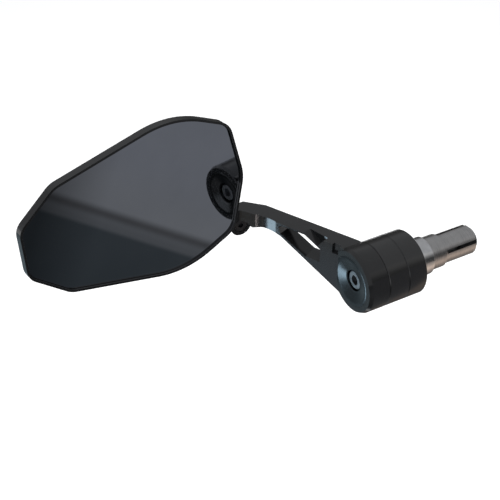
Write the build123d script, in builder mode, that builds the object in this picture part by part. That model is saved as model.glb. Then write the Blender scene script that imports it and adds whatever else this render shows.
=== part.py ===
from build123d import *
import math
import os

os.makedirs("parts", exist_ok=True)

# Motorcycle bar end mirror, millimetres, upright.
# Origin: centre of the collar face that stops against the handlebar end.
# +X runs into the handlebar, +Y is forward, +Z is up. The glass faces the rider, along -Y.

# Bar end stack, from the handlebar outwards
hub_radius = 17.2
collar_radius = 10.2
collar_length = 10.4
end_ring_length = 10.8
spacer_length = 11.8
eye_length = 11.9
seam_bevel = 0.35
face_bevel = 0.9
face_bevel_length = 2.0
turn_gap = 0.1
spigot_radius = 8.0
spigot_gap = 0.05
cup_radius = 13.4
cup_gap = 0.15
cup_length = 8.0
cup_lip = 1.7
dish_depth = 3.4
dish_floor_radius = 6.4

# M6 clamp bolt and the expander that grips the handlebar bore
bolt_radius = 3.0
bolt_play = 0.3
thread_gap = 0.02
bolt_head_radius = 5.0
bolt_head_play = 0.6
bolt_head_height = 4.0
bolt_head_sink = 2.4
bolt_hex = 5.0
bolt_hex_depth = 2.6
pilot_radius = 8.95
pilot_length = 8.5
sleeve_radius = 8.0
sleeve_length = 29.4
sleeve_tip_bevel = 0.7
sleeve_spigot_radius = 6.5
sleeve_spigot_length = 4.0
pilot_sink = 0.8
neck_radius = 9.15
seat_gap = 0.02
slot_width = 2.0
slot_start = 10.0
slot_turn = 66.0
wedge_small = 4.9
wedge_large = 6.3
wedge_start = 20.5
wedge_end = 30.6
wedge_room = 1.0
bolt_tip = 28.0

# Machined arm: a plan outline, a side profile along the outer wall, and a window
arm_yaw = 27.5
arm_top = 14.0
arm_set_back = 0.5
wall_start = 11.1
beam_under = 7.0
knee = 36.5
far_turn_x = -59.0
far_turn_y = 61.3
clamp_face = 63.9
clamp_left = -102.0
clamp_under = 4.0
clamp_under_start = 56.0
beam_under_end = 47.0
hub_foot = 3.0
window_right = 11.5
window_floor = -0.5
window_flat = 20.0
window_left = 37.0
window_roof = 13.2
window_crest = 21.1
window_heel = 7.6
window_floor_skin = 0.8
window_end = 1.5
window_corner = 2.0
window_blend = 0.8
window_draft = 3.8
window_draft_end = 1.6
window_over = 0.6
window_rear_bevel = 0.8
waist_start = 37.5
waist_end = 51.2
waist_depth = 1.0
block_yaw = 36.0
block_round = 3.0
knee_blend = 8.0
pocket_start = 0.5
pocket_end = 4.8
pocket_floor = 8.6
pocket_depth = 1.6
scoop_yaw = 17.6
scoop_depth = 5.2
scoop_top = 21.0
scoop_low = 12.5
scoop_low_height = 9.1
scoop_right = 9.2
scoop_rise = 1.0

# Stem clamp at the arm end
ear_x = -72.7
ear_z = 3.6
ear_radius = 6.0
far_screw_edge = 5.8
far_screw_z = 9.0
jaw_gap = 0.2
jaw_depth = 6.0
jaw_right = -70.4
stem_gap = 0.05
m4_radius = 2.0
m4_head_radius = 3.5
m4_head_height = 3.4
m4_hex = 3.0
m4_sink = 3.6
m4_head_play = 0.3
m4_play = 0.2
m4_length = 8.4
m4_hole_depth = 20.0

# Ball stem and its place behind the glass
stem_radius = 3.5
ball_radius = 6.5
ball_gap = 0.05
ball_u = 39.0
ball_v = -10.0
ball_depth = 16.5
stem_leg = 17.0
stem_bend = 8.0
stem_foot = 3.0

# Mirror head, drawn on the front of the glass
head_x = -139.3
head_y = 48.0
head_z = 43.4
head_yaw = 7.04
head_pitch = 4.2
head_roll = -0.8
glass_right = 62.4
glass_right_corner_x = 55.65
glass_right_corner_y = 28.9
glass_wide_x = 26.35
glass_wide_y = 41.8
glass_left_shoulder_x = -35.3
glass_left_shoulder_y = 26.7
glass_left = -53.2
glass_left_y = 11.65
glass_wide_blend = 48.0
glass_nose_blend = 20.0
glass_corner_blend = 9.0
glass_shoulder_blend = 10.0
glass_left_blend = 7.0
corner_pick = 0.1
glass_thickness = 2.0
tape_thickness = 0.5
tape_inset = 3.0
glass_gap = 0.25
rim_width = 1.2
rim_proud = 1.2
housing_depth = 7.0
back_bevel = 2.6

# Ball socket on the back of the housing
foot_thickness = 2.6
foot_length = 36.0
foot_height = 25.0
foot_shift = -9.0
foot_corner = 4.0
socket_length = 18.0
socket_height = 25.0
socket_corner = 3.0
cap_bevel = 1.2
socket_split = 0.2
cap_depth = 8.2
stem_exit_play = 0.8
m3_radius = 1.5
m3_play = 0.15
m3_head_radius = 2.75
m3_head_height = 3.0
m3_hex = 2.5
cap_screw_v = 9.4
cap_screw_hole = 10.0
cap_screw_grip = 5.0
foot_screw_u = -17.5
foot_screw_v = 8.5
foot_screw_length = 5.6

# Derived places
spacer_start = -collar_length - end_ring_length - spacer_length
eye_start = spacer_start - turn_gap
hub_face = eye_start - eye_length
cup_seat = hub_face + cup_length
head_seat = hub_face + bolt_head_sink + bolt_head_height
shank_hole = bolt_radius + bolt_play
sin_yaw = math.sin(math.radians(arm_yaw))
cos_yaw = math.cos(math.radians(arm_yaw))
arm_side = Plane(
    origin=(hub_face + arm_set_back, wall_start, 0),
    x_dir=(-sin_yaw, cos_yaw, 0),
    z_dir=(cos_yaw, sin_yaw, 0),
)
depth_axis = Axis(arm_side.origin, arm_side.z_dir)
length_axis = Axis(arm_side.origin, arm_side.x_dir)
arm_depth = (eye_start - hub_face - arm_set_back) * cos_yaw
arm_reach = clamp_face - clamp_left
far_screw_x = clamp_left + far_screw_edge
floor_slope = (beam_under + window_floor_skin - window_floor) / (window_left - window_end - window_flat)
window_skew = window_end / 2
floor_edge_end = window_left - window_corner
far_floor_end = beam_under + window_floor_skin - window_skew * floor_slope
scoop_slope = (arm_top - scoop_low_height) / (scoop_top - scoop_low)
scoop_turn = math.radians(scoop_yaw)
scoop_wall = Plane(
    origin=arm_side.from_local_coords(Vector(scoop_top, 0, scoop_depth)),
    x_dir=(-math.sin(scoop_turn), math.cos(scoop_turn), 0),
    z_dir=(math.cos(scoop_turn), math.sin(scoop_turn), 0),
)
waist_in = arm_side.from_local_coords(Vector(waist_start, 0, 0))
waist_mid = arm_side.from_local_coords(Vector((waist_start + waist_end) / 2, 0, waist_depth))
waist_out = arm_side.from_local_coords(Vector(waist_end, 0, 0))
block_corner = waist_out.X - (clamp_face - waist_out.Y) * math.tan(math.radians(block_yaw))
lean = math.radians(head_pitch)
turn = math.radians(head_yaw)
level_head = Plane(
    origin=(head_x, head_y, head_z),
    x_dir=(math.cos(turn), math.sin(turn), 0),
    z_dir=(math.sin(turn) * math.cos(lean), -math.cos(turn) * math.cos(lean), math.sin(lean)),
)
roll = math.radians(head_roll)
head = Plane(
    origin=level_head.origin,
    x_dir=level_head.x_dir * math.cos(roll) + level_head.y_dir * math.sin(roll),
    z_dir=level_head.z_dir,
)
ball = head.from_local_coords(Vector(ball_u, ball_v, -ball_depth))
ball_seat = Plane(origin=ball, x_dir=-head.x_dir, z_dir=head.z_dir)
post_x = ball.X + stem_leg * math.cos(turn)
post_y = ball.Y + stem_leg * math.sin(turn)
stem_plane = Plane(
    origin=(post_x, post_y, 0),
    x_dir=(math.cos(turn), math.sin(turn), 0),
    z_dir=(math.sin(turn), -math.cos(turn), 0),
)
bend_centre = stem_plane.from_local_coords(Vector(-stem_bend, ball.Z - stem_bend, 0))
leg_start = stem_plane.from_local_coords(Vector(-stem_bend, ball.Z, 0))
clamp_back = post_y - jaw_gap / 2
jaw_front = post_y + jaw_gap / 2
housing_back = rim_proud - housing_depth
foot_back = housing_back - foot_thickness
foot_screw_at = ball_u + foot_screw_u
cap_back = -ball_depth - socket_split / 2 - cap_depth

# Glass outline, the same above and below its long axis
with BuildSketch() as glass_face:
    with BuildLine():
        Polyline(
            (glass_right, 0),
            (glass_right_corner_x, glass_right_corner_y),
            (glass_wide_x, glass_wide_y),
            (glass_left_shoulder_x, glass_left_shoulder_y),
            (glass_left, glass_left_y),
            (glass_left, -glass_left_y),
            (glass_left_shoulder_x, -glass_left_shoulder_y),
            (glass_wide_x, -glass_wide_y),
            (glass_right_corner_x, -glass_right_corner_y),
            close=True,
        )
    make_face()
    fillet(glass_face.vertices().sort_by(Axis.X)[-1], radius=glass_nose_blend)
    for place, blend in (
        (glass_left, glass_left_blend),
        (glass_left_shoulder_x, glass_shoulder_blend),
        (glass_wide_x, glass_wide_blend),
        (glass_right_corner_x, glass_corner_blend),
    ):
        corners = glass_face.vertices().filter_by_position(Axis.X, place - corner_pick, place + corner_pick)
        fillet(corners, radius=blend)

# Polished collar that meets the handlebar end
with BuildPart() as collar:
    with BuildSketch(Plane.YZ.offset(-collar_length)):
        Circle(collar_radius)
    extrude(amount=collar_length)
    chamfer(collar.edges().filter_by(GeomType.CIRCLE), length=seam_bevel)
    with BuildSketch(Plane.YZ.offset(-collar_length)):
        Circle(shank_hole)
    extrude(amount=collar_length, mode=Mode.SUBTRACT)
    with BuildSketch(Plane.YZ):
        Circle(sleeve_spigot_radius + seat_gap)
    extrude(amount=-sleeve_spigot_length - seat_gap, mode=Mode.SUBTRACT)
    with BuildSketch(Plane.YZ):
        Circle(neck_radius + seat_gap)
    extrude(amount=-pilot_sink, mode=Mode.SUBTRACT)

# Split expander sleeve with its plain pilot
with BuildPart() as expander_sleeve:
    with BuildSketch(Plane.XZ):
        with BuildLine():
            Polyline(
                (-sleeve_spigot_length, shank_hole),
                (-sleeve_spigot_length, sleeve_spigot_radius),
                (-pilot_sink, sleeve_spigot_radius),
                (-pilot_sink, neck_radius),
                (0, neck_radius),
                (0, pilot_radius),
                (pilot_length, pilot_radius),
                (pilot_length + sleeve_tip_bevel, sleeve_radius),
                (sleeve_length - sleeve_tip_bevel, sleeve_radius),
                (sleeve_length, sleeve_radius - sleeve_tip_bevel),
                (sleeve_length, wedge_large + seat_gap - (wedge_end - sleeve_length)
                 * (wedge_large - wedge_small) / (wedge_end - wedge_start)),
                (wedge_start, wedge_small + seat_gap),
                (wedge_start - wedge_room, wedge_small + seat_gap),
                (wedge_start - wedge_room, shank_hole),
                close=True,
            )
        make_face()
    revolve(axis=Axis.X)
    with BuildSketch(Plane.YZ.offset(slot_start)):
        Rectangle(4 * sleeve_radius, slot_width, rotation=slot_turn)
        Rectangle(slot_width, 4 * sleeve_radius, rotation=slot_turn)
    extrude(amount=sleeve_length, mode=Mode.SUBTRACT)

# Wedge nut drawn into the sleeve by the bolt
with BuildPart() as wedge_nut:
    with BuildSketch(Plane.XZ):
        with BuildLine():
            Polyline(
                (wedge_start, bolt_radius + thread_gap),
                (wedge_start, wedge_small),
                (wedge_end, wedge_large),
                (wedge_end, bolt_radius + thread_gap),
                close=True,
            )
        make_face()
    revolve(axis=Axis.X)

# Fixed ring next to the collar
with BuildPart() as end_ring:
    with BuildSketch(Plane.YZ.offset(-collar_length - end_ring_length)):
        Circle(hub_radius)
    extrude(amount=end_ring_length)
    chamfer(end_ring.edges().filter_by(GeomType.CIRCLE), length=seam_bevel)
    with BuildSketch(Plane.YZ.offset(-collar_length - end_ring_length)):
        Circle(shank_hole)
    extrude(amount=end_ring_length, mode=Mode.SUBTRACT)

# Spacer ring with the spigot the arm turns on
with BuildPart() as spacer_ring:
    with BuildSketch(Plane.YZ.offset(spacer_start)):
        Circle(hub_radius)
    extrude(amount=spacer_length)
    chamfer(spacer_ring.edges().filter_by(GeomType.CIRCLE), length=seam_bevel)
    with BuildSketch(Plane.YZ.offset(spacer_start)):
        Circle(spigot_radius)
    extrude(amount=cup_seat - spacer_start + turn_gap)
    with BuildSketch(Plane.YZ.offset(cup_seat)):
        Circle(shank_hole)
    extrude(amount=2 * spacer_length, mode=Mode.SUBTRACT)

# Dished washer under the bolt head
with BuildPart() as cup_washer:
    with BuildSketch(Plane.XZ):
        with BuildLine():
            Polyline(
                (cup_seat - turn_gap, shank_hole),
                (cup_seat - turn_gap, cup_radius),
                (hub_face + seam_bevel, cup_radius),
                (hub_face, cup_radius - seam_bevel),
                (hub_face, cup_radius - cup_lip),
                (hub_face + dish_depth, dish_floor_radius),
                (hub_face + dish_depth, bolt_head_radius + bolt_head_play),
                (head_seat, bolt_head_radius + bolt_head_play),
                (head_seat, shank_hole),
                close=True,
            )
        make_face()
    revolve(axis=Axis.X)

# Socket head bolt through the whole stack
with BuildPart() as clamp_bolt:
    with BuildSketch(Plane.YZ.offset(head_seat - bolt_head_height)):
        Circle(bolt_head_radius)
    extrude(amount=bolt_head_height)
    chamfer(clamp_bolt.edges().sort_by(Axis.X)[0], length=seam_bevel)
    with BuildSketch(Plane.YZ.offset(head_seat)):
        Circle(bolt_radius)
    extrude(amount=bolt_tip - head_seat)
    with BuildSketch(Plane.YZ.offset(head_seat - bolt_head_height)):
        RegularPolygon(bolt_hex / 2, 6, major_radius=False)
    extrude(amount=bolt_hex_depth, mode=Mode.SUBTRACT)

# Arm milled from plate: beam, window, scoop, then the eye and the clamp end
with BuildPart() as arm:
    with BuildSketch(Plane.XY.offset(-hub_radius)):
        with BuildLine():
            Polyline(
                (waist_in.X, waist_in.Y),
                (hub_face + arm_set_back, wall_start),
                (hub_face + arm_set_back, 0),
                (eye_start, 0),
                (eye_start, wall_start),
                (far_turn_x, far_turn_y),
                (far_turn_x - (clamp_back - far_turn_y), clamp_back),
                (clamp_left, clamp_back),
                (clamp_left, clamp_face),
                (block_corner, clamp_face),
                (waist_out.X, waist_out.Y),
            )
            ThreePointArc((waist_out.X, waist_out.Y), (waist_mid.X, waist_mid.Y), (waist_in.X, waist_in.Y))
        plan = make_face()
        fillet(plan.vertices().sort_by_distance((waist_out.X, waist_out.Y))[0], radius=block_round)
    extrude(amount=hub_radius + arm_top)
    with BuildSketch(arm_side):
        with BuildLine():
            Polyline(
                (-arm_reach, arm_top),
                (arm_reach, arm_top),
                (arm_reach, clamp_under),
                (clamp_under_start, clamp_under),
                (beam_under_end, beam_under),
                (knee, beam_under),
                (0, hub_foot - hub_radius),
                (-arm_reach, hub_foot - hub_radius),
                close=True,
            )
        profile = make_face()
        fillet(profile.vertices().group_by(Axis.Y)[2], radius=knee_blend)
    extrude(amount=arm_reach, both=True, mode=Mode.INTERSECT)
    with BuildSketch(arm_side):
        with BuildLine():
            Polyline(
                (window_right, window_floor),
                (window_flat, window_floor),
                (window_left - window_end, beam_under + window_floor_skin),
                (window_left, window_roof - window_end),
                (window_left - window_corner, window_roof),
                (window_crest, window_roof),
                (window_right, window_heel),
                close=True,
            )
        near_opening = make_face()
        fillet(near_opening.vertices(), radius=window_blend)
    with BuildSketch(arm_side.offset(arm_depth + window_over)):
        with BuildLine():
            Polyline(
                (window_right, window_floor),
                (window_flat, window_floor),
                (window_left - window_end - window_skew, far_floor_end),
                (window_left - window_draft_end, window_roof - window_draft - window_end / 2),
                (window_left - window_corner - window_draft_end / 2, window_roof - window_draft),
                (window_crest, window_roof - window_draft),
                (window_right, window_heel - window_draft),
                close=True,
            )
        far_opening = make_face()
        fillet(far_opening.vertices(), radius=window_blend)
    loft(mode=Mode.SUBTRACT)
    floor_edges = arm.edges().filter_by_position(length_axis, window_right + window_over, floor_edge_end)
    floor_edges = floor_edges.filter_by_position(Axis.Z, window_floor - window_over, beam_under)
    rear_edges = floor_edges.filter_by_position(depth_axis, arm_depth, arm_depth + window_over)
    chamfer(rear_edges, length=window_rear_bevel)
    with BuildSketch(scoop_wall):
        with BuildLine():
            Polyline(
                (scoop_rise / scoop_slope, arm_top + scoop_rise),
                (scoop_low - scoop_top, scoop_low_height),
                (scoop_right - scoop_top, arm_top),
                (scoop_right - scoop_top, arm_top + scoop_rise),
                close=True,
            )
        make_face()
    extrude(amount=-2 * scoop_depth, mode=Mode.SUBTRACT)
    with BuildSketch(arm_side):
        with BuildLine():
            Polyline(
                (pocket_start, pocket_floor),
                (pocket_end, pocket_floor),
                (pocket_end, arm_top),
                (pocket_start, arm_top),
                close=True,
            )
        make_face()
    extrude(amount=pocket_depth, mode=Mode.SUBTRACT)
    with BuildSketch(Plane.XZ):
        with BuildLine():
            Polyline(
                (eye_start, 0),
                (eye_start, hub_radius - seam_bevel),
                (eye_start - seam_bevel, hub_radius),
                (hub_face + face_bevel_length, hub_radius),
                (hub_face, hub_radius - face_bevel),
                (hub_face, 0),
                close=True,
            )
        make_face()
    revolve(axis=Axis.X)
    with BuildSketch(Plane.XZ.offset(-clamp_face)):
        with Locations((ear_x, ear_z)):
            Circle(ear_radius)
    extrude(amount=clamp_face - clamp_back)
    with BuildSketch(Plane.YZ.offset(hub_face)):
        Circle(cup_radius + cup_gap)
    extrude(amount=cup_length, mode=Mode.SUBTRACT)
    with BuildSketch(Plane.YZ.offset(hub_face)):
        Circle(spigot_radius + spigot_gap)
    extrude(amount=eye_length, mode=Mode.SUBTRACT)
    with BuildSketch(Plane.XY.offset(-hub_radius)):
        with Locations((post_x, post_y)):
            Circle(stem_radius + stem_gap)
    extrude(amount=3 * hub_radius, mode=Mode.SUBTRACT)
    with BuildSketch(Plane.XZ.offset(-clamp_face - m4_sink)):
        with Locations((ear_x, ear_z), (far_screw_x, far_screw_z)):
            Circle(m4_head_radius + m4_head_play)
    extrude(amount=clamp_face, mode=Mode.SUBTRACT)
    with BuildSketch(Plane.XZ.offset(-clamp_face)):
        with Locations((ear_x, ear_z), (far_screw_x, far_screw_z)):
            Circle(m4_radius + m4_play)
    extrude(amount=-m4_hole_depth, mode=Mode.SUBTRACT)

# Rear jaw of the stem clamp
with BuildPart() as clamp_jaw:
    with BuildSketch(Plane.XZ.offset(-jaw_front)):
        with BuildLine():
            Polyline(
                (clamp_left, clamp_under),
                (clamp_left, arm_top),
                (jaw_right, arm_top),
                (jaw_right, clamp_under),
                close=True,
            )
        make_face()
        with Locations((ear_x, ear_z)):
            Circle(ear_radius)
    extrude(amount=-jaw_depth)
    with BuildSketch(Plane.XY):
        with Locations((post_x, post_y)):
            Circle(stem_radius + stem_gap)
    extrude(amount=hub_radius, mode=Mode.SUBTRACT)
    with BuildSketch(Plane.XZ.offset(-jaw_front)):
        with Locations((ear_x, ear_z), (far_screw_x, far_screw_z)):
            Circle(m4_radius + thread_gap)
    extrude(amount=-jaw_depth, mode=Mode.SUBTRACT)

# Bent stem with its ball
with BuildPart() as ball_stem:
    with BuildSketch(Plane.XY.offset(stem_foot)):
        with Locations((post_x, post_y)):
            Circle(stem_radius)
    extrude(amount=ball.Z - stem_bend - stem_foot)
    with BuildSketch(Plane.XY.offset(ball.Z - stem_bend)):
        with Locations((post_x, post_y)):
            Circle(stem_radius)
    revolve(axis=Axis(bend_centre, stem_plane.z_dir), revolution_arc=90)
    with BuildSketch(Plane(origin=leg_start, x_dir=(0, 0, 1), z_dir=-stem_plane.x_dir)):
        Circle(stem_radius)
    extrude(amount=stem_leg - stem_bend - stem_radius)
    with BuildSketch(stem_plane):
        with BuildLine():
            Line((-stem_leg - ball_radius, ball.Z), (-stem_leg + ball_radius, ball.Z))
            ThreePointArc(
                (-stem_leg - ball_radius, ball.Z),
                (-stem_leg, ball.Z + ball_radius),
                (-stem_leg + ball_radius, ball.Z),
            )
        make_face()
    revolve(axis=Axis(leg_start, stem_plane.x_dir))

# Tinted glass
with BuildPart() as mirror_glass:
    with BuildSketch(head):
        add(glass_face.sketch)
    extrude(amount=-glass_thickness)

# Foam tape that holds the glass
with BuildPart() as glass_tape:
    with BuildSketch(head.offset(-glass_thickness)):
        add(glass_face.sketch)
        offset(amount=-tape_inset)
    extrude(amount=-tape_thickness)

# Slim shell with a narrow rim round the glass
with BuildPart() as housing:
    with BuildSketch(head.offset(rim_proud)):
        add(glass_face.sketch)
        offset(amount=glass_gap + rim_width)
    extrude(amount=-housing_depth + back_bevel)
    with BuildSketch(head.offset(housing_back + back_bevel)):
        add(glass_face.sketch)
        offset(amount=glass_gap + rim_width)
    with BuildSketch(head.offset(housing_back)):
        add(glass_face.sketch)
        offset(amount=glass_gap + rim_width - back_bevel)
    loft()
    with BuildSketch(head.offset(rim_proud)):
        add(glass_face.sketch)
        offset(amount=glass_gap)
    extrude(amount=-rim_proud - glass_thickness - tape_thickness, mode=Mode.SUBTRACT)
    with BuildSketch(head.offset(housing_back)):
        with Locations((foot_screw_at, ball_v + foot_screw_v), (foot_screw_at, ball_v - foot_screw_v)):
            Circle(m3_radius + thread_gap)
    extrude(amount=housing_depth, mode=Mode.SUBTRACT)

# Bracket on the shell's back, with half of the ball's socket
with BuildPart() as socket_bracket:
    with BuildSketch(head.offset(housing_back)):
        with Locations((ball_u + foot_shift, ball_v)):
            RectangleRounded(foot_length, foot_height, foot_corner)
    extrude(amount=-foot_thickness)
    with BuildSketch(head.offset(foot_back)):
        with Locations((ball_u, ball_v)):
            RectangleRounded(socket_length, socket_height, socket_corner)
    extrude(amount=-(ball_depth - socket_split / 2 + foot_back))
    with Locations(ball_seat):
        Sphere(ball_radius + ball_gap, mode=Mode.SUBTRACT)
    with BuildSketch(Plane(origin=ball, x_dir=head.z_dir, z_dir=head.x_dir)):
        Circle(stem_radius + stem_exit_play)
    extrude(amount=socket_length, mode=Mode.SUBTRACT)
    with BuildSketch(head.offset(-ball_depth)):
        with Locations((ball_u, ball_v + cap_screw_v), (ball_u, ball_v - cap_screw_v)):
            Circle(m3_radius + thread_gap)
    extrude(amount=cap_screw_hole, mode=Mode.SUBTRACT)
    with BuildSketch(head.offset(foot_back)):
        with Locations((foot_screw_at, ball_v + foot_screw_v), (foot_screw_at, ball_v - foot_screw_v)):
            Circle(m3_radius + m3_play)
    extrude(amount=foot_thickness, mode=Mode.SUBTRACT)

# Cap with the other half of the socket
with BuildPart() as socket_cap:
    with BuildSketch(head.offset(-ball_depth - socket_split / 2)):
        with Locations((ball_u, ball_v)):
            RectangleRounded(socket_length, socket_height, socket_corner)
    extrude(amount=-cap_depth)
    chamfer(socket_cap.faces().sort_by(Axis(head.origin, head.z_dir))[0].edges(), length=cap_bevel)
    with Locations(ball_seat):
        Sphere(ball_radius + ball_gap, mode=Mode.SUBTRACT)
    with BuildSketch(Plane(origin=ball, x_dir=head.z_dir, z_dir=head.x_dir)):
        Circle(stem_radius + stem_exit_play)
    extrude(amount=socket_length, mode=Mode.SUBTRACT)
    with BuildSketch(head.offset(-ball_depth)):
        with Locations((ball_u, ball_v + cap_screw_v), (ball_u, ball_v - cap_screw_v)):
            Circle(m3_radius + m3_play)
    extrude(amount=-cap_depth - socket_split, mode=Mode.SUBTRACT)


# Socket head screw: out is the side of its seat plane that the head stands on
def socket_screw(seat, place, out, head_radius, head_height, hex_across, radius, length):
    with BuildPart() as screw:
        with BuildSketch(seat):
            with Locations(place):
                Circle(head_radius)
        extrude(amount=out * head_height)
        with BuildSketch(seat):
            with Locations(place):
                Circle(radius)
        extrude(amount=-out * length)
        with BuildSketch(seat.offset(out * head_height)):
            with Locations(place):
                RegularPolygon(hex_across / 2, 6, major_radius=False)
        extrude(amount=-out * head_height / 2, mode=Mode.SUBTRACT)
    return screw


# Screws of the stem clamp, the socket cap and the bracket
m4_head = (m4_head_radius, m4_head_height, m4_hex, m4_radius)
m3_head = (m3_head_radius, m3_head_height, m3_hex, m3_radius)
jaw_seat = Plane.XZ.offset(-clamp_face - m4_sink)
cap_seat = head.offset(cap_back)
foot_seat = head.offset(foot_back)
cap_screw_length = cap_depth + socket_split + cap_screw_grip
jaw_screw_near = socket_screw(jaw_seat, (ear_x, ear_z), 1, *m4_head, m4_length)
jaw_screw_far = socket_screw(jaw_seat, (far_screw_x, far_screw_z), 1, *m4_head, m4_length)
cap_screw_upper = socket_screw(cap_seat, (ball_u, ball_v + cap_screw_v), -1, *m3_head, cap_screw_length)
cap_screw_lower = socket_screw(cap_seat, (ball_u, ball_v - cap_screw_v), -1, *m3_head, cap_screw_length)
foot_upper_at = (foot_screw_at, ball_v + foot_screw_v)
foot_lower_at = (foot_screw_at, ball_v - foot_screw_v)
foot_screw_upper = socket_screw(foot_seat, foot_upper_at, -1, *m3_head, foot_screw_length)
foot_screw_lower = socket_screw(foot_seat, foot_lower_at, -1, *m3_head, foot_screw_length)

# Name each piece and write it out
pieces = {
    "collar": collar,
    "expander_sleeve": expander_sleeve,
    "wedge_nut": wedge_nut,
    "end_ring": end_ring,
    "spacer_ring": spacer_ring,
    "cup_washer": cup_washer,
    "clamp_bolt": clamp_bolt,
    "arm": arm,
    "clamp_jaw": clamp_jaw,
    "jaw_screw_near": jaw_screw_near,
    "jaw_screw_far": jaw_screw_far,
    "ball_stem": ball_stem,
    "mirror_glass": mirror_glass,
    "glass_tape": glass_tape,
    "housing": housing,
    "socket_bracket": socket_bracket,
    "socket_cap": socket_cap,
    "cap_screw_upper": cap_screw_upper,
    "cap_screw_lower": cap_screw_lower,
    "foot_screw_upper": foot_screw_upper,
    "foot_screw_lower": foot_screw_lower,
}
for name, piece in pieces.items():
    piece.part.label = name
    export_step(piece.part, f"parts/{name}.step")
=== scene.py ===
# %% [markdown]
# # A bar end mirror for a motorcycle
# The solids come packed from the CAD step, already in metres and in their places, and this lesson dresses
# them. They could be modelled again here, but then the looks and the motion would drift apart, so all but
# one washer are kept as they are. The box around them is kept too, because the dressed model may not grow
# out of it.

# %% Load the frame
import math
import bmesh
import bpy
from mathutils import Matrix, Vector


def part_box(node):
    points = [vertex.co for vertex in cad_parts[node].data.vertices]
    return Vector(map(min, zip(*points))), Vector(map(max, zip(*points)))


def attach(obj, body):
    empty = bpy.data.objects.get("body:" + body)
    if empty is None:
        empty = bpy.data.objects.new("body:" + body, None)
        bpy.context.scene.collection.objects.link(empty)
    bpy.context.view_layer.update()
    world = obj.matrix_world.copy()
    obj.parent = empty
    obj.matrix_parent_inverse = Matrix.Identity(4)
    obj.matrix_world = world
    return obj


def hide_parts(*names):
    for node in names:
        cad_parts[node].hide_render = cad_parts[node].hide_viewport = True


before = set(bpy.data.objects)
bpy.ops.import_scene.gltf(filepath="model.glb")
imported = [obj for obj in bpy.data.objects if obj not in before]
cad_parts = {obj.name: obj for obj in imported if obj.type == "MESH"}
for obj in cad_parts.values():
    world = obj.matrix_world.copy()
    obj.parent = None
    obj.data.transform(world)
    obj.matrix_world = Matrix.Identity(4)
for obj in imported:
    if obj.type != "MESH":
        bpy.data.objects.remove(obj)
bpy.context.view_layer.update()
MM = 0.001

# %% [markdown]
# ## Tools for finishes
# A finish is a node tree, and written out node by node it gets long. A few helpers keep it short: one
# starts a material with its shader, one fills a node's sockets from numbers or from other nodes, one adds
# a node, and one puts the finish on the solids that wear it.

# %% Start a finish, add nodes to it and put it on
def blank_finish(name):
    finish = bpy.data.materials.new(name)
    finish.use_nodes = True
    finish.node_tree.nodes.clear()
    return finish


def fill(finish, node, sockets):
    for key, value in sockets.items():
        if isinstance(value, bpy.types.NodeSocket):
            finish.node_tree.links.new(value, node.inputs[key])
        else:
            node.inputs[key].default_value = value
    return node


def add(finish, kind, sockets=None, **settings):
    node = finish.node_tree.nodes.new("ShaderNode" + kind)
    for key, value in settings.items():
        setattr(node, key, value)
    return fill(finish, node, sockets or {})


def start_finish(name):
    finish = blank_finish(name)
    shader = add(finish, "BsdfPrincipled")
    add(finish, "OutputMaterial", {"Surface": shader.outputs["BSDF"]})
    return finish, shader


def dress(names, finish):
    for name in names:
        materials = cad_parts[name].data.materials
        materials.clear()
        materials.append(finish)
    print(finish.name, "on", ", ".join(names))


print("helpers for finishes ready")

# %% [markdown]
# ## Patterns in object space
# Blasting leaves a fine even grain, and a lathe leaves rings about its axis. Both could be pictures
# wrapped round the solids, but noise needs no unwrapping. It reads Object coordinates, which on these
# solids are metres from the bar end, so a size in millimetres turns straight into a texture scale. The
# turned pieces all share the bar's axis, X, and their rings follow the sum of the place along it and the
# distance from it, which gives rings on a barrel and on an end face alike.

# %% Grain and rings
ACROSS_BAR = (0, 1, 1)
RING_DETAIL = 2.0


def object_place(finish):
    return add(finish, "TexCoord").outputs["Object"]


def grain(finish, size_mm, detail):
    return add(finish, "TexNoise", {"Vector": object_place(finish), "Scale": 1 / (size_mm * MM),
                                    "Detail": detail}).outputs["Fac"]


def rings(finish, pitch_mm):
    place = object_place(finish)
    across = add(finish, "VectorMath", {0: place, 1: ACROSS_BAR}, operation="MULTIPLY").outputs["Vector"]
    radius = add(finish, "VectorMath", {0: across}, operation="LENGTH").outputs["Value"]
    along = add(finish, "SeparateXYZ", {"Vector": place}).outputs["X"]
    path = add(finish, "Math", {0: along, 1: radius}, operation="ADD").outputs["Value"]
    return add(finish, "TexNoise", {"W": path, "Scale": 1 / (pitch_mm * MM), "Detail": RING_DETAIL},
               noise_dimensions="1D").outputs["Fac"]


print("patterns ready")

# %% [markdown]
# ## From a pattern to a colour
# Noise seldom leaves the middle of its range, so that middle is spread over the range that a finish
# wants, of colour or of roughness. A patchy colour then wanders between a shade and a darker copy of it.
# Two colours meet in a Mix node, whose colour sockets come after those for numbers and vectors and go by
# their index.

# %% Spread a pattern and blend colours
NOISE_WIDE = (0.3, 0.7)
NOISE_CLOSE = (0.35, 0.65)
NOISE_UPPER = (0.35, 0.7)
MIX_AMOUNT, MIX_FIRST, MIX_SECOND, MIX_RESULT = 0, 6, 7, 2


def spread(finish, value, source, target=(0.0, 1.0)):
    return add(finish, "MapRange", {"Value": value, "From Min": source[0], "From Max": source[1],
                                    "To Min": target[0], "To Max": target[1]}).outputs["Result"]


def opaque(colour):
    return colour if isinstance(colour, bpy.types.NodeSocket) else (*colour, 1)


def blend(finish, amount, first, second, how="MIX"):
    mix = add(finish, "Mix", data_type="RGBA", blend_type=how)
    fill(finish, mix, {MIX_AMOUNT: amount, MIX_FIRST: opaque(first), MIX_SECOND: opaque(second)})
    return mix.outputs[MIX_RESULT]


def scaled(colour, level):
    return tuple(level * part for part in colour)


def patchy(finish, noise, source, shade, darkest):
    return blend(finish, spread(finish, noise, source), scaled(shade, darkest), shade)


print("noise is spread from", NOISE_WIDE, NOISE_CLOSE, "or", NOISE_UPPER)

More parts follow.
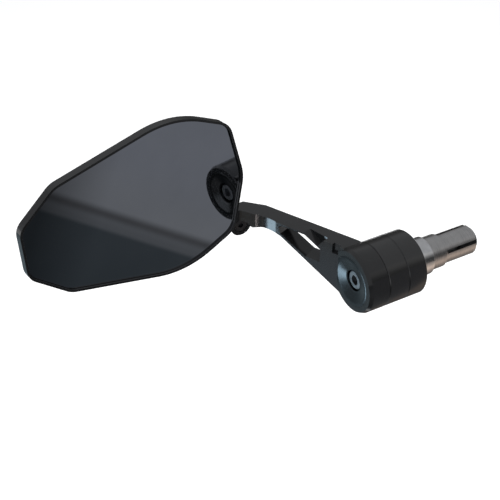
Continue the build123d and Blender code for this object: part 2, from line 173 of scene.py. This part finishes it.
# %% [markdown]
# ## Worn edges and fine relief
# Hands, keys and rags rub a finish thin on the edges. The edges could be painted one by one, but the
# shader can look for them: where a normal that is smoothed over a fraction of a millimetre leans away
# from the true one, there is an edge. Marks too fine to model are a bump, which bends the light and
# leaves the outline alone.

# %% Find worn edges and raise relief
EDGE_LEAN = 0.35
EDGE_SAMPLES = 4


def worn_edge(finish, width_mm, share):
    soft = add(finish, "Bevel", {"Radius": width_mm * MM}, samples=EDGE_SAMPLES).outputs["Normal"]
    true = add(finish, "NewGeometry").outputs["Normal"]
    same = add(finish, "VectorMath", {0: soft, 1: true}, operation="DOT_PRODUCT").outputs["Value"]
    return spread(finish, same, (1.0, 1.0 - EDGE_LEAN), (0.0, share))


def relief(finish, height, depth_mm):
    return add(finish, "Bump", {"Height": height, "Strength": 1.0,
                                "Distance": depth_mm * MM}).outputs["Normal"]


print("worn edges and relief ready")

# %% [markdown]
# ## Blasted black aluminium
# The arm, its rear jaw, the socket and the mirror's shell are machined, blasted and black anodised. The
# layer is almost black with a faint cool cast, has a satin sheen, and is thin on the edges, where rubbing
# brings up a lighter line. It could be one plain colour, but then the large flats would look like
# plastic, so a cloud and a speck, one broad and one fine, move its colour and its sheen.

# %% Blasted black finish
LAYER_BLACK = (0.012, 0.0122, 0.0128)
LAYER_RUBBED = (0.14, 0.145, 0.155)
FLECK_DARK = (0.6, 0.6, 0.6)
FLECK_PALE = (1.2, 1.2, 1.22)
FLECK_SHARE = 0.35
CLOUD_ROUGHNESS = (0.12, 0.17)
SPECK_ROUGHNESS = (-0.015, 0.015)


def blasted_black():
    finish, shader = start_finish("blasted_black")
    cloud = grain(finish, size_mm=14.0, detail=4.0)
    speck = grain(finish, size_mm=0.28, detail=2.0)
    base = patchy(finish, cloud, NOISE_CLOSE, LAYER_BLACK, darkest=0.82)
    flecks = blend(finish, spread(finish, speck, NOISE_WIDE), FLECK_DARK, FLECK_PALE)
    flecked = blend(finish, FLECK_SHARE, base, flecks, how="MULTIPLY")
    rubbed = blend(finish, worn_edge(finish, width_mm=0.22, share=0.2), flecked, LAYER_RUBBED)
    broad = spread(finish, cloud, NOISE_WIDE, CLOUD_ROUGHNESS)
    fine = spread(finish, speck, NOISE_WIDE, SPECK_ROUGHNESS)
    rough = add(finish, "Math", {0: broad, 1: fine}, operation="ADD").outputs["Value"]
    fill(finish, shader, {"Base Color": rubbed, "Roughness": rough, "Specular IOR Level": 0.55,
                          "Normal": relief(finish, speck, depth_mm=0.001)})
    return finish


dress(["arm", "clamp_jaw", "socket_bracket", "socket_cap", "housing"], blasted_black())

# %% [markdown]
# ## Turned black aluminium
# The two rings beside the arm and the washer in its eye come off a lathe before they are anodised, so
# very fine rings run round them. They could be cut as grooves, thousands of faces that nobody would see.
# A bump of less than a thousandth of a millimetre is enough: it draws the highlight out along the
# turning. The washer's layer is thinner, and the metal under it shows as a grey sheen.

# %% Turned black finish
TURNED_ROUGHNESS = (0.19, 0.25)


def turned_black(name, shade, edge_shade, metallic):
    finish, shader = start_finish(name)
    lines = rings(finish, pitch_mm=0.16)
    base = patchy(finish, grain(finish, size_mm=9.0, detail=3.0), NOISE_CLOSE, shade, darkest=0.8)
    rubbed = blend(finish, worn_edge(finish, width_mm=0.2, share=0.3), base, edge_shade)
    fill(finish, shader, {"Base Color": rubbed, "Metallic": metallic, "Specular IOR Level": 0.95,
                          "Roughness": spread(finish, lines, NOISE_WIDE, TURNED_ROUGHNESS),
                          "Normal": relief(finish, lines, depth_mm=0.0007)})
    return finish


ring_black = turned_black("turned_black", shade=(0.006, 0.006, 0.0062), edge_shade=(0.08, 0.08, 0.083),
                          metallic=0.0)
cup_black = turned_black("cup_black", shade=(0.055, 0.058, 0.060), edge_shade=(0.12, 0.125, 0.13),
                         metallic=1.0)
dress(["end_ring", "spacer_ring"], ring_black)

# %% [markdown]
# ## The dished washer
# The washer in the arm's eye is a turned disc. A narrow flat lip runs round it, a shallow cone sinks from
# the lip to a small floor, and the bolt head sits in a bore in that floor. The solid could stay, but its
# cone is deeper than the highlight and the dark gap beside the bolt head show, so the washer is made anew
# between the solid's own face, back and rim. A lathe follows one profile, and the profile comes first.

# %% Draw the washer's profile
CUP_LIP_WIDTH = 1.7 * MM
DISH_DEPTH = 1.65 * MM
DISH_FLOOR_RADIUS = 6.4 * MM
BOLT_BORE_RADIUS = 5.6 * MM
BOLT_SEAT_DEPTH = 6.4 * MM
SHANK_HOLE_RADIUS = 3.3 * MM

cup_low, cup_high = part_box("cup_washer")
cup_face, cup_back, cup_radius = cup_low[0], cup_high[0], cup_high[1]
cup_profile = [
    (cup_back, SHANK_HOLE_RADIUS),
    (cup_back, cup_radius),
    (cup_face, cup_radius),
    (cup_face, cup_radius - CUP_LIP_WIDTH),
    (cup_face + DISH_DEPTH, DISH_FLOOR_RADIUS),
    (cup_face + DISH_DEPTH, BOLT_BORE_RADIUS),
    (cup_face + BOLT_SEAT_DEPTH, BOLT_BORE_RADIUS),
    (cup_face + BOLT_SEAT_DEPTH, SHANK_HOLE_RADIUS),
]
print("washer profile:", len(cup_profile), "corners, face at", round(cup_face / MM, 2), "mm")

# %% [markdown]
# A spin of the profile about the bar's axis does what the lathe does. The corners that a tool would
# break, which are the rim's two, the lip's inner one and the cone's foot, get a small bevel while they
# are still points: it costs less than a bevel round the finished disc.

# %% Spin the dished washer
CUP_BREAK = 0.08 * MM
MERGE_WITHIN = 0.001 * MM
SPIN_STEPS = 128
SHARP_ANGLE = math.radians(30)

turned = bmesh.new()
corners = [turned.verts.new((x, 0, radius)) for x, radius in cup_profile]
for first, second in zip(corners, corners[1:] + corners[:1]):
    turned.edges.new((first, second))
broken_corners = corners[1:5]
bmesh.ops.bevel(turned, geom=broken_corners, offset=CUP_BREAK, offset_type="OFFSET", segments=2,
                profile=0.5, affect="VERTICES", material=-1)
bmesh.ops.spin(turned, geom=turned.verts[:] + turned.edges[:], cent=(0, 0, 0), axis=(1, 0, 0),
               angle=math.tau, steps=SPIN_STEPS, use_merge=True)
bmesh.ops.remove_doubles(turned, verts=turned.verts, dist=MERGE_WITHIN)
bmesh.ops.recalc_face_normals(turned, faces=turned.faces)
cup_mesh = bpy.data.meshes.new("dished_washer")
turned.to_mesh(cup_mesh)
turned.free()
cup_mesh.shade_smooth()
cup_mesh.set_sharp_from_angle(angle=SHARP_ANGLE)
print("dished washer:", len(cup_mesh.polygons), "faces")

# %% [markdown]
# The new washer takes the old one's place in the frame: it rides on the same body, and the solid that it
# replaces is no longer shown.

# %% Put the dished washer in its place
dished_washer = bpy.data.objects.new("dished_washer", cup_mesh)
bpy.context.scene.collection.objects.link(dished_washer)
cup_mesh.materials.append(cup_black)
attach(dished_washer, "bar_end")
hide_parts("cup_washer")
print(dished_washer.name, "replaces cup_washer")

# %% [markdown]
# ## Bare and plated metal, and a nut painted dark as shade
# The collar is polished, the sleeve is left as it came off the lathe, the bolt is plated steel, and its
# nut, which shows only through the sleeve's slots, is painted dark for the shade in them. All are metals,
# so their colour is the colour of what they mirror. Each could have a recipe of its own, but one function
# does for all four, because only the shade, the roughness and the turning marks set them apart.

# %% Turned metal finishes
SCORE_DARK = (0.75, 0.75, 0.75)
SCORE_PALE = (1.0, 1.0, 1.0)
SCORE_SHARE = 0.3
STEEL_MARKS = {"roughness": (0.30, 0.42), "pitch_mm": 0.12, "depth_mm": 0.003}


def turned_metal(name, shade, roughness, pitch_mm, depth_mm):
    finish, shader = start_finish(name)
    lines = rings(finish, pitch_mm)
    base = patchy(finish, grain(finish, size_mm=4.0, detail=4.0), NOISE_UPPER, shade, darkest=0.84)
    scores = blend(finish, spread(finish, lines, NOISE_WIDE), SCORE_DARK, SCORE_PALE)
    scored = blend(finish, SCORE_SHARE, base, scores, how="MULTIPLY")
    fill(finish, shader, {"Base Color": scored, "Metallic": 1.0,
                          "Roughness": spread(finish, lines, NOISE_WIDE, roughness),
                          "Normal": relief(finish, lines, depth_mm)})
    return finish


polished = turned_metal("polished_aluminium", shade=(0.80, 0.80, 0.81), roughness=(0.10, 0.22),
                        pitch_mm=0.30, depth_mm=0.002)
satin = turned_metal("satin_aluminium", shade=(0.57, 0.56, 0.555), roughness=(0.24, 0.36),
                     pitch_mm=0.14, depth_mm=0.001)
dress(["collar"], polished)
dress(["expander_sleeve"], satin)
dress(["clamp_bolt"], turned_metal("zinc_steel", shade=(0.30, 0.305, 0.315), **STEEL_MARKS))
# The nut's shade is painted dark to stand for the shade that falls inside the sleeve's slots.
dress(["wedge_nut"], turned_metal("nut_steel_painted_shade", shade=(0.06, 0.06, 0.062), **STEEL_MARKS))

# %% [markdown]
# ## Blackened steel
# The small screws and the ball stem are steel with a thin black oxide, mottled where the oil dried, and
# grey where a key or a socket has rubbed. It could share the turned black, but it shows more of the
# metal, so it gets a finish of its own with a stronger worn edge.

# %% Blackened steel finish
STEEL_RUBBED = (0.26, 0.26, 0.27)


def blackened_steel(name, shade, roughness):
    finish, shader = start_finish(name)
    mottle = grain(finish, size_mm=2.2, detail=5.0)
    base = patchy(finish, mottle, NOISE_UPPER, shade, darkest=0.7)
    rubbed = blend(finish, worn_edge(finish, width_mm=0.18, share=0.7), base, STEEL_RUBBED)
    pits = grain(finish, size_mm=0.2, detail=2.0)
    fill(finish, shader, {"Base Color": rubbed, "Metallic": 0.75,
                          "Roughness": spread(finish, mottle, NOISE_WIDE, roughness),
                          "Normal": relief(finish, pits, depth_mm=0.006)})
    return finish


screw_black = blackened_steel("black_steel", shade=(0.055, 0.056, 0.06), roughness=(0.28, 0.42))
stem_black = blackened_steel("stem_steel", shade=(0.075, 0.076, 0.08), roughness=(0.24, 0.38))
dress([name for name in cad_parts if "_screw_" in name], screw_black)
dress(["ball_stem"], stem_black)

# %% [markdown]
# ## Tinted mirror glass and its tape
# The glass is a blue-grey tinted mirror against glare. It could be clear glass over a silvered back, but
# the eye sees only the silver, so it is a metal with almost no roughness, and its colour is the tint. A
# breath of dust, a little rougher in patches, keeps it from looking like a hole in the picture. The foam
# tape behind it only shows as a dark line.

# %% Mirror and foam finishes
TINT_DARK = (0.57, 0.60, 0.655)
TINT_PALE = (0.625, 0.655, 0.71)
DUST_RANGE = (0.35, 0.75)
DUST_ROUGHNESS = (0.012, 0.05)
FOAM_DARK = (0.018, 0.018, 0.018)
FOAM_PALE = (0.05, 0.05, 0.05)


def tinted_mirror():
    finish, shader = start_finish("tinted_mirror")
    dust = grain(finish, size_mm=26.0, detail=5.0)
    tint = blend(finish, spread(finish, dust, NOISE_WIDE), TINT_DARK, TINT_PALE)
    fill(finish, shader, {"Base Color": tint, "Metallic": 1.0,
                          "Roughness": spread(finish, dust, DUST_RANGE, DUST_ROUGHNESS)})
    return finish


def foam_tape():
    finish, shader = start_finish("foam_tape")
    cells = grain(finish, size_mm=0.35, detail=2.0)
    fill(finish, shader, {"Base Color": blend(finish, cells, FOAM_DARK, FOAM_PALE), "Roughness": 0.9,
                          "Normal": relief(finish, cells, depth_mm=0.05)})
    return finish


dress(["mirror_glass"], tinted_mirror())
dress(["glass_tape"], foam_tape())

# %% [markdown]
# ## Camera
# The camera stands where the photograph was taken from, found from the bar's axis, the round rings and
# the flat glass. It could be aimed at a point, but that leaves its roll open, so its three axes are
# written out as the columns of a matrix: right, up, and back towards the viewer.

# %% Place the camera
CAMERA_PLACE = Vector((-0.255904, -0.278395, 0.286712))
CAMERA_RIGHT = Vector((0.875789, -0.482694, 0.0))
CAMERA_UP = Vector((0.294847, 0.534962, 0.791758))
CAMERA_BACK = CAMERA_RIGHT.cross(CAMERA_UP)
CAMERA_LENS = 64.615
SENSOR_WIDTH = 36.0
NEAREST_SEEN = 0.01

camera_data = bpy.data.cameras.new("photo_camera")
camera_data.lens = CAMERA_LENS
camera_data.sensor_width = SENSOR_WIDTH
camera_data.clip_start = NEAREST_SEEN
camera = bpy.data.objects.new("photo_camera", camera_data)
bpy.context.scene.collection.objects.link(camera)
camera_turn = Matrix((CAMERA_RIGHT, CAMERA_UP, CAMERA_BACK)).transposed().to_4x4()
camera.matrix_world = Matrix.Translation(CAMERA_PLACE) @ camera_turn
bpy.context.scene.camera = camera
print("camera back axis:", [round(part, 3) for part in CAMERA_BACK])

# %% [markdown]
# ## Floor and world
# The mirror hangs over a wide pale floor. More lamps could burn the floor out to white, but they would
# bleach the object as well. Instead the floor glows up to white for the camera and in mirrors, and for
# every other ray it is plain pale paint, so it still catches a soft shadow.

# %% Lay the floor
FLOOR_HEIGHT = -0.26
FLOOR_WIDTH = 8.0
FLOOR_PAINT = (0.86, 0.86, 0.86)
FLOOR_GLOW = 0.50
WHITE = (1, 1, 1)


def sheet(name, width, depth, matrix):
    shape = bmesh.new()
    bmesh.ops.create_grid(shape, x_segments=1, y_segments=1, size=0.5, calc_uvs=True)
    bmesh.ops.scale(shape, vec=(width, depth, 1), verts=shape.verts)
    bmesh.ops.transform(shape, matrix=matrix, verts=shape.verts)
    mesh = bpy.data.meshes.new(name)
    shape.to_mesh(mesh)
    shape.free()
    piece = bpy.data.objects.new(name, mesh)
    bpy.context.scene.collection.objects.link(piece)
    return piece


floor = sheet("floor", FLOOR_WIDTH, FLOOR_WIDTH, Matrix.Translation((0, 0, FLOOR_HEIGHT)))
paint, paint_shader = start_finish("floor_paint")
light_path = add(paint, "LightPath")
seen = light_path.outputs["Is Camera Ray"]
for ray in ("Is Glossy Ray", "Is Transmission Ray"):
    seen = add(paint, "Math", {0: seen, 1: light_path.outputs[ray]}, operation="MAXIMUM").outputs["Value"]
glow = add(paint, "Math", {0: seen, 1: FLOOR_GLOW}, operation="MULTIPLY").outputs["Value"]
fill(paint, paint_shader, {"Base Color": opaque(FLOOR_PAINT), "Roughness": 0.9,
                           "Emission Color": opaque(WHITE), "Emission Strength": glow})
floor.data.materials.append(paint)
print("floor", FLOOR_WIDTH, "m wide at", FLOOR_HEIGHT, "m")

# %% [markdown]
# The studio's walls are far off and pale. They could be built, but nothing of them would show, so the
# world behind the floor is one plain light grey that fills the shadows.

# %% Light the world
WORLD_GREY = (0.95, 0.97, 1.0)
WORLD_LEVEL = 0.40

world = bpy.data.worlds.new("studio")
world.use_nodes = True
background = world.node_tree.nodes["Background"]
background.inputs["Color"].default_value = opaque(WORLD_GREY)
background.inputs["Strength"].default_value = WORLD_LEVEL
bpy.context.scene.world = world
print("world level", WORLD_LEVEL)

# %% [markdown]
# ## What the mirror sees
# From this side the glass looks down past the viewer, at the dark end of the studio. A large card stands
# there, grey above and dark below, with one soft stripe between. Its place could be found by trial, but a
# mirror obeys a simple rule: the camera's line of sight is followed to the glass, bounced off it, and
# carried on to the card. The stripe runs between two spots of the picture, each carried to the card in
# that way.

# %% Follow the line of sight to the card
HEAD_YAW, HEAD_PITCH = math.radians(7.04), math.radians(4.2)
GLASS_FACING = Vector((math.sin(HEAD_YAW) * math.cos(HEAD_PITCH),
                       -math.cos(HEAD_YAW) * math.cos(HEAD_PITCH),
                       math.sin(HEAD_PITCH)))
GLASS_POINT = Vector((-0.1393, 0.048, 0.0434))
CARD_DISTANCE = 0.17
PICTURE_WIDTH = 500
PICTURE_MIDDLE = PICTURE_WIDTH / 2
GLASS_MIDDLE_PIXEL = (130, 205)
STRIPE_START_PIXEL = (60, 195)
STRIPE_END_PIXEL = (200, 239)


def sight_line(px, py):
    focus = CAMERA_LENS / SENSOR_WIDTH * PICTURE_WIDTH
    sideways = CAMERA_RIGHT * (px - PICTURE_MIDDLE)
    upwards = CAMERA_UP * (py - PICTURE_MIDDLE)
    return (sideways - upwards - CAMERA_BACK * focus).normalized()


def bounce_from(px, py):
    line = sight_line(px, py)
    reach = (GLASS_POINT - CAMERA_PLACE).dot(GLASS_FACING) / line.dot(GLASS_FACING)
    return CAMERA_PLACE + line * reach, line - 2 * line.dot(GLASS_FACING) * GLASS_FACING


glass_middle, bounce = bounce_from(*GLASS_MIDDLE_PIXEL)
card_side = bounce.cross(Vector((0, 0, 1))).normalized()
card_up = card_side.cross(bounce)
card_centre = glass_middle + CARD_DISTANCE * bounce
card_turn = Matrix((card_side, card_up, -bounce)).transposed().to_4x4()


def on_card(px, py):
    hit, way = bounce_from(px, py)
    spot = hit + way * ((card_centre - hit).dot(bounce) / way.dot(bounce)) - card_centre
    return Vector((spot.dot(card_side), spot.dot(card_up)))


stripe_start, stripe_end = on_card(*STRIPE_START_PIXEL), on_card(*STRIPE_END_PIXEL)
print("stripe on the card from", stripe_start, "to", stripe_end)

# %% [markdown]
# A card could carry a picture, but then the script would need the picture. A ramp needs only a few
# levels: each card is a sheet that glows in greys or colours along one direction in its own plane. Only
# mirror rays meet it, so it throws no light on the rough part of a finish, and no shadow.

# %% Make a glowing card
HIDDEN_FROM = ("visible_camera", "visible_diffuse", "visible_transmission", "visible_volume_scatter",
               "visible_shadow")
MIDDLE_STOP = 0.5


def reach_along(finish, origin, way):
    moved = add(finish, "VectorMath", {0: object_place(finish), 1: origin}, operation="SUBTRACT")
    return add(finish, "VectorMath", {0: moved.outputs["Vector"], 1: way},
               operation="DOT_PRODUCT").outputs["Value"]


def glowing_ramp(finish, reach, stops):
    low, high = stops[0][0], stops[-1][0]
    ramp = add(finish, "ValToRGB", {"Fac": spread(finish, reach, (low, high))})
    ramp.color_ramp.interpolation = "EASE"
    while len(ramp.color_ramp.elements) < len(stops):
        ramp.color_ramp.elements.new(MIDDLE_STOP)
    for element, (at, colour) in zip(ramp.color_ramp.elements, stops):
        element.position = (at - low) / (high - low)
        element.color = opaque(colour)
    return ramp.outputs["Color"]


def glow_card(name, width, depth, matrix, origin, along, stops):
    card = sheet(name, width, depth, matrix)
    for flag in HIDDEN_FROM:
        setattr(card, flag, False)
    finish = blank_finish(name)
    colour = glowing_ramp(finish, reach_along(finish, origin, along), stops)
    lamp = add(finish, "Emission", {"Color": colour, "Strength": 1.0})
    add(finish, "OutputMaterial", {"Surface": lamp.outputs["Emission"]})
    card.data.materials.append(finish)
    print(name, width, "x", depth, "m")
    return finish, lamp


print("cards are hidden from:", ", ".join(HIDDEN_FROM))

# %% [markdown]
# The glass shows a slanted stripe, and all that it mirrors gets dimmer towards its left end. So the mirror
# card's ramp runs across the stripe, and its strength fades along it. Two cards could do it, one over the
# other, but one is easier to place.

# %% Stand the mirror card
MIRROR_STOPS = [
    (-0.054, (0.034, 0.040, 0.044)),
    (-0.0148, (0.037, 0.043, 0.047)),
    (-0.0112, (0.082, 0.085, 0.089)),
    (-0.0072, (0.089, 0.092, 0.096)),
    (-0.0031, (0.060, 0.060, 0.062)),
    (0.0027, (0.157, 0.160, 0.167)),
    (0.045, (0.160, 0.164, 0.178)),
]
FADE_REACH = (-0.009, 0.030)
FADE_LEVELS = (0.4, 1.0)

stripe = (stripe_end - stripe_start).normalized()
stripe_origin = card_centre + card_side * stripe_start.x + card_up * stripe_start.y
stripe_along = card_side * stripe.x + card_up * stripe.y
stripe_across = card_side * stripe.y - card_up * stripe.x
mirror_finish, mirror_lamp = glow_card(
    "mirror_card", width=0.162, depth=0.126, matrix=Matrix.Translation(card_centre) @ card_turn,
    origin=stripe_origin, along=stripe_across, stops=MIRROR_STOPS)
fade_place = reach_along(mirror_finish, stripe_origin, stripe_along)
fill(mirror_finish, mirror_lamp, {"Strength": spread(mirror_finish, fade_place, FADE_REACH, FADE_LEVELS)})
print("mirror card", CARD_DISTANCE, "m from the glass")

# %% [markdown]
# ## Streaks on the arm and in the dish
# Smooth black metal shows bright things as streaks: a pale blue one on the arm's waist, another in the
# washer's dish, and a thin pink line along the arm's edge. Lamps could draw them, but each lamp would
# light all the rest too. Three small cards do it, lying low, where the bounced lines of sight come down.

# %% Lay the small bright cards
CARD_HEIGHT = -0.17
DISH_CARD_HEIGHT = -0.169
WORLD_MIDDLE = (0, 0, 0)
FRONT_TO_BACK = (0, 1, 0)
BLUE = (0.62, 0.84, 1.0)
PINK = (1.0, 0.88, 0.84)


def lying_card(name, width, depth, place, stops):
    glow_card(name, width, depth, Matrix.Translation(place), WORLD_MIDDLE, FRONT_TO_BACK, stops)


def plain(colour, level):
    return [(0.0, scaled(colour, level)), (1.0, scaled(colour, level))]


lying_card("waist_card", width=0.06, depth=0.075, place=(-0.295, 0.1375, CARD_HEIGHT),
           stops=plain(BLUE, level=7.0))
lying_card("dish_card", width=0.12, depth=0.045, place=(-0.265, 0.092, DISH_CARD_HEIGHT),
           stops=plain(BLUE, level=8.5))
lying_card("edge_card", width=0.045, depth=0.009, place=(-0.3075, -0.054, CARD_HEIGHT),
           stops=plain(PINK, level=18.0))

# %% [markdown]
# ## The arm's broad faces
# The near side of the arm and its eye mirror a wide low surface, dark near the viewer and bluish farther
# on, and the clamp block's near face mirrors one warm grey patch. The white floor would make both far too
# pale, so two lying cards cover it, each with a ramp from front to back.

# %% Lay the cards for the arm
LEFT_FLAG_HEIGHT = -0.19
LEFT_STOPS = [
    (-0.90, (0.05, 0.05, 0.05)),
    (-0.22, (0.06, 0.06, 0.06)),
    (-0.10, (0.36, 0.34, 0.33)),
    (-0.02, (0.50, 0.58, 0.66)),
    (0.05, (0.50, 0.60, 0.68)),
    (0.12, (0.25, 0.32, 0.36)),
    (0.60, (0.25, 0.32, 0.36)),
]
CLAMP_STOPS = [
    (-0.045, (0.06, 0.055, 0.05)),
    (-0.012, (0.08, 0.075, 0.07)),
    (0.008, (0.34, 0.31, 0.27)),
    (0.022, (0.34, 0.31, 0.27)),
    (0.04, (0.08, 0.08, 0.08)),
    (0.07, (0.08, 0.08, 0.08)),
]
lying_card("left_flag", width=0.64, depth=1.50, place=(-0.34, -0.15, LEFT_FLAG_HEIGHT), stops=LEFT_STOPS)
lying_card("clamp_card", width=0.095, depth=0.114, place=(-0.335, 0.012, CARD_HEIGHT), stops=CLAMP_STOPS)

# %% [markdown]
# ## The barrel's bands
# The rings, the collar and the sleeve are round, so each shows the studio as bands that run along the
# bar: pale above, dark at the front and warm below. The finish could be painted in bands, but they would
# turn with the part. A standing card in front, a warm card lying below and a dark card standing behind,
# which sets off the rings' upper edge, keep the bands in the studio, where they belong.

# %% Stand and lay the cards for the barrel
WARM_CARD_HEIGHT = -0.20
UPWARDS = (0, 0, 1)
UPRIGHT = Matrix.Rotation(math.radians(90), 4, "X")
FRONT_STOPS = [
    (-0.20, (0.32, 0.27, 0.24)),
    (-0.06, (0.05, 0.05, 0.05)),
    (0.18, (0.04, 0.04, 0.04)),
    (0.32, (0.16, 0.16, 0.16)),
    (0.55, (0.40, 0.40, 0.40)),
    (0.80, (0.50, 0.50, 0.50)),
]
WARM_STOPS = [
    (-0.70, (0.32, 0.29, 0.27)),
    (-0.45, (0.45, 0.38, 0.33)),
    (-0.20, (0.75, 0.60, 0.50)),
    (-0.06, (0.32, 0.27, 0.24)),
    (0.02, (0.16, 0.145, 0.135)),
    (0.20, (0.12, 0.115, 0.11)),
]
BACK_STOPS = [
    (-0.25, (0.07, 0.07, 0.07)),
    (0.10, (0.08, 0.08, 0.08)),
    (0.45, (0.28, 0.28, 0.285)),
]


def standing_card(name, width, height, place, stops):
    glow_card(name, width, height, Matrix.Translation(place) @ UPRIGHT, WORLD_MIDDLE, UPWARDS, stops)


standing_card("front_flag", width=0.8, height=1.0, place=(0.55, -0.70, 0.30), stops=FRONT_STOPS)
lying_card("warm_card", width=0.68, depth=0.90, place=(0.33, -0.25, WARM_CARD_HEIGHT), stops=WARM_STOPS)
standing_card("back_flag", width=2.4, height=0.7, place=(0.4, 0.90, 0.10), stops=BACK_STOPS)

# %% [markdown]
# ## Lamps
# The cards draw the highlights, so the lamps only have to light the rough part of each finish, and mirror
# rays don't see them. One lamp would do, but it would leave a side of the part black. Three soft boxes
# share the work: a wide neutral one overhead, a weak cool one from the left front, and a weaker warm one
# low in front.

# %% Hang the lamps
OBJECT_MIDDLE = Vector((-0.07, 0.03, 0.02))


def soft_box(name, place, size, power, colour):
    data = bpy.data.lights.new(name, "AREA")
    data.shape = "RECTANGLE"
    data.size, data.size_y = size
    data.energy = power
    data.color = colour
    lamp = bpy.data.objects.new(name, data)
    lamp.location = place
    lamp.rotation_euler = (OBJECT_MIDDLE - Vector(place)).to_track_quat("-Z", "Y").to_euler()
    lamp.visible_glossy = False
    bpy.context.scene.collection.objects.link(lamp)
    print(name, "soft box,", power, "W")


soft_box("overhead", place=(-0.10, 0.10, 0.85), size=(0.9, 0.7), power=7.5, colour=(1.0, 0.99, 0.97))
soft_box("cool_side", place=(-0.75, -0.45, 0.30), size=(0.30, 0.6), power=1.5, colour=(0.72, 0.86, 1.0))
soft_box("warm_low", place=(0.25, -0.60, -0.05), size=(0.5, 0.12), power=0.6, colour=(1.0, 0.80, 0.66))

# %% [markdown]
# ## Colour view
# The picture keeps the plain Standard view, so that a colour comes out as it was written.

# %% Finish
bpy.context.scene.view_settings.view_transform = "Standard"
